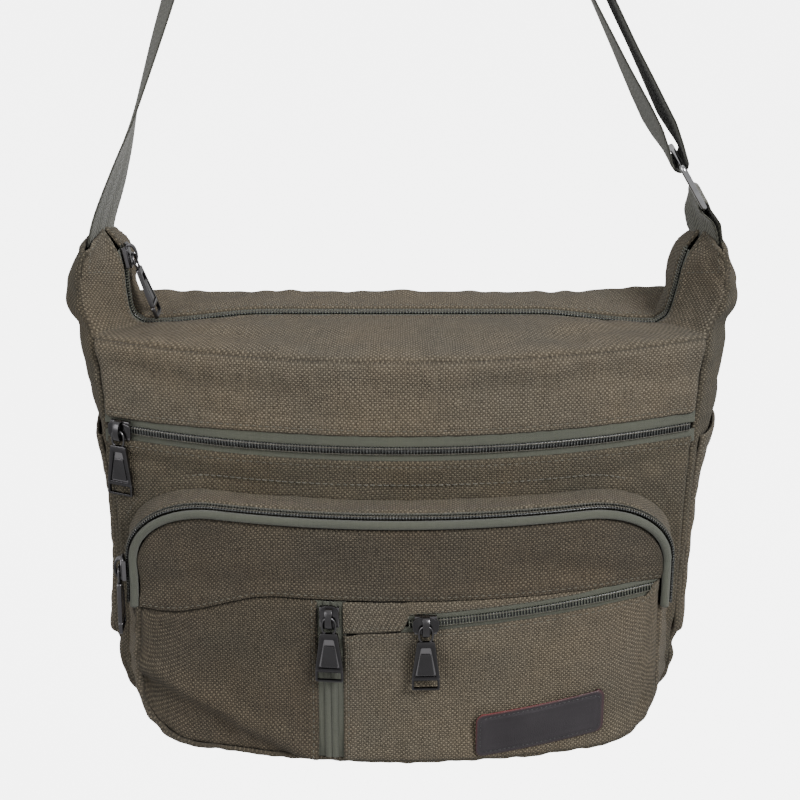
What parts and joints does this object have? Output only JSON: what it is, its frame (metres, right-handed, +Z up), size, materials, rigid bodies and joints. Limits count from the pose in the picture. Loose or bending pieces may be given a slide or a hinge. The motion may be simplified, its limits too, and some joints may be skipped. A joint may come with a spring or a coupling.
{
  "type": "messenger bag",
  "caption": "Soft canvas shoulder bag hanging by its webbing strap, with raised side wings, a bellows front pocket and zipped pockets.",
  "frame": {"origin": "the top of the shoulder strap, at the middle of the webbing's outer face, where the bag hangs from a hook or a hand", "axes": "+X to the bag's right as its front is seen, +Y to its back, +Z up"},
  "size_m": [0.3446, 0.1573, 0.6],
  "materials": {
    "canvas": "matt waxed canvas, coarse plain weave",
    "lining": "thin matt lining cloth",
    "zip_tape": "matt woven tape, grey-green",
    "zip_coil": "satin nylon coil",
    "webbing": "matt woven webbing, grey-green",
    "leather": "smooth dark leather",
    "gunmetal": "polished dark plating",
    "chrome": "polished"
  },
  "bodies": {
    "bag": {"front_lower_panel": "canvas", "front_upper_panel": "canvas", "back_upper_panel": "canvas", "back_lower_panel": "canvas", "gusset_left": "canvas", "gusset_right": "canvas", "bottom_panel": "canvas", "top_strip_front": "canvas", "top_strip_back": "canvas", "cargo_band_upper": "canvas", "cargo_gusset_lower": "canvas", "cargo_panel_upper": "canvas", "cargo_panel_left": "canvas", "cargo_panel_right": "canvas", "cargo_panel_wedge": "canvas", "side_pocket_left": "canvas", "side_pocket_right": "canvas", "front_pocket_lining": "lining", "back_pocket_lining": "lining", "cargo_pocket_lining": "lining", "inner_slip_pocket": "lining", "main_zip_tape_front": "zip_tape", "main_zip_tape_back": "zip_tape", "upper_zip_tape_high": "zip_tape", "upper_zip_tape_low": "zip_tape", "cargo_zip_tape_inner": "zip_tape", "cargo_binding": "zip_tape", "vertical_zip_tape_left": "zip_tape", "vertical_zip_tape_right": "zip_tape", "small_zip_tape_high": "zip_tape", "small_zip_tape_low": "zip_tape", "back_zip_tape_high": "zip_tape", "back_zip_tape_low": "zip_tape", "main_zip_coil": "zip_coil", "upper_zip_coil": "zip_coil", "cargo_zip_coil": "zip_coil", "vertical_zip_coil": "zip_coil", "small_zip_coil": "zip_coil", "back_zip_coil": "zip_coil", "leather_patch": "leather", "strap_webbing": "webbing", "strap_tail": "webbing", "strap_tab": "webbing"},
    "main_slider": {"main_zip_slider": "gunmetal"},
    "main_pull": {"main_zip_pull": "gunmetal"},
    "upper_slider": {"upper_zip_slider": "gunmetal"},
    "upper_pull": {"upper_zip_pull": "gunmetal"},
    "cargo_slider": {"cargo_zip_slider": "gunmetal"},
    "cargo_pull": {"cargo_zip_pull": "gunmetal"},
    "vertical_slider": {"vertical_zip_slider": "gunmetal"},
    "vertical_pull": {"vertical_zip_pull": "gunmetal"},
    "small_slider": {"small_zip_slider": "gunmetal"},
    "small_pull": {"small_zip_pull": "gunmetal"},
    "back_slider": {"back_zip_slider": "gunmetal"},
    "back_pull": {"back_zip_pull": "gunmetal"},
    "ring": {"strap_ring": "chrome"},
    "adjuster": {"strap_adjuster": "gunmetal"}
  },
  "joints": [
    {"name": "main_slide", "type": "slide", "parent": "bag", "child": "main_slider", "axis": [0.105, 0, -0.9945], "range_m": [0, 0.0085]},
    {"name": "upper_slide", "type": "hinge", "parent": "bag", "child": "upper_slider", "pos_m": [0.0277, 0.28933, -0.4275], "axis": [0, 0, 1], "range_deg": [0, 1.1]},
    {"name": "cargo_slide", "type": "slide", "parent": "bag", "child": "cargo_slider", "axis": [0, 0, 1], "range_m": [-0.012, 0.0015]},
    {"name": "vertical_slide", "type": "slide", "parent": "bag", "child": "vertical_slider", "axis": [0, 0, -1], "range_m": [0, 0.072]},
    {"name": "small_slide", "type": "hinge", "parent": "bag", "child": "small_slider", "pos_m": [0.0277, 0.26, -0.5093], "axis": [-0.0748, 0, 0.9972], "range_deg": [0, 16.5]},
    {"name": "back_slide", "type": "slide", "parent": "bag", "child": "back_slider", "axis": [1, 0, 0], "range_m": [0, 0.262]},
    {"name": "main_pull_swing", "type": "hinge", "parent": "main_slider", "child": "main_pull", "pos_m": [-0.11021, 0, -0.34743], "axis": [0, -1, 0], "range_deg": [0, 60]},
    {"name": "upper_pull_swing", "type": "hinge", "parent": "upper_slider", "child": "upper_pull", "pos_m": [-0.11615, -0.0458, -0.4275], "axis": [-0.9189, 0.3944, 0], "range_deg": [0, 150]},
    {"name": "cargo_pull_swing", "type": "hinge", "parent": "cargo_slider", "child": "cargo_pull", "pos_m": [-0.1156, -0.07005, -0.49218], "axis": [0, 1, 0], "range_deg": [0, 150]},
    {"name": "vertical_pull_swing", "type": "hinge", "parent": "vertical_slider", "child": "vertical_pull", "pos_m": [-0.00776, -0.10297, -0.5045], "axis": [-0.9953, 0.0972, 0], "range_deg": [0, 150]},
    {"name": "small_pull_swing", "type": "hinge", "parent": "small_slider", "child": "small_pull", "pos_m": [0.04062, -0.10447, -0.50837], "axis": [-0.9994, -0.0354, 0], "range_deg": [0, 150]},
    {"name": "back_pull_swing", "type": "hinge", "parent": "back_slider", "child": "back_pull", "pos_m": [-0.1053, 0.04783, -0.45], "axis": [1, 0, 0], "range_deg": [0, 150]},
    {"name": "ring_play", "type": "hinge", "parent": "bag", "child": "ring", "pos_m": [0.1799, 0, -0.317], "axis": [0, 1, 0], "range_deg": [-3, 3]},
    {"name": "adjuster_slide", "type": "slide", "parent": "bag", "child": "adjuster", "axis": [-0.4579, 0, 0.889], "range_m": [-0.125, 0], "deforming": ["strap_tail"]}
  ],
  "couplings": [
    {"joint": "main_pull_swing", "follows": "main_slide", "rad_per_m": 113}
  ]
}
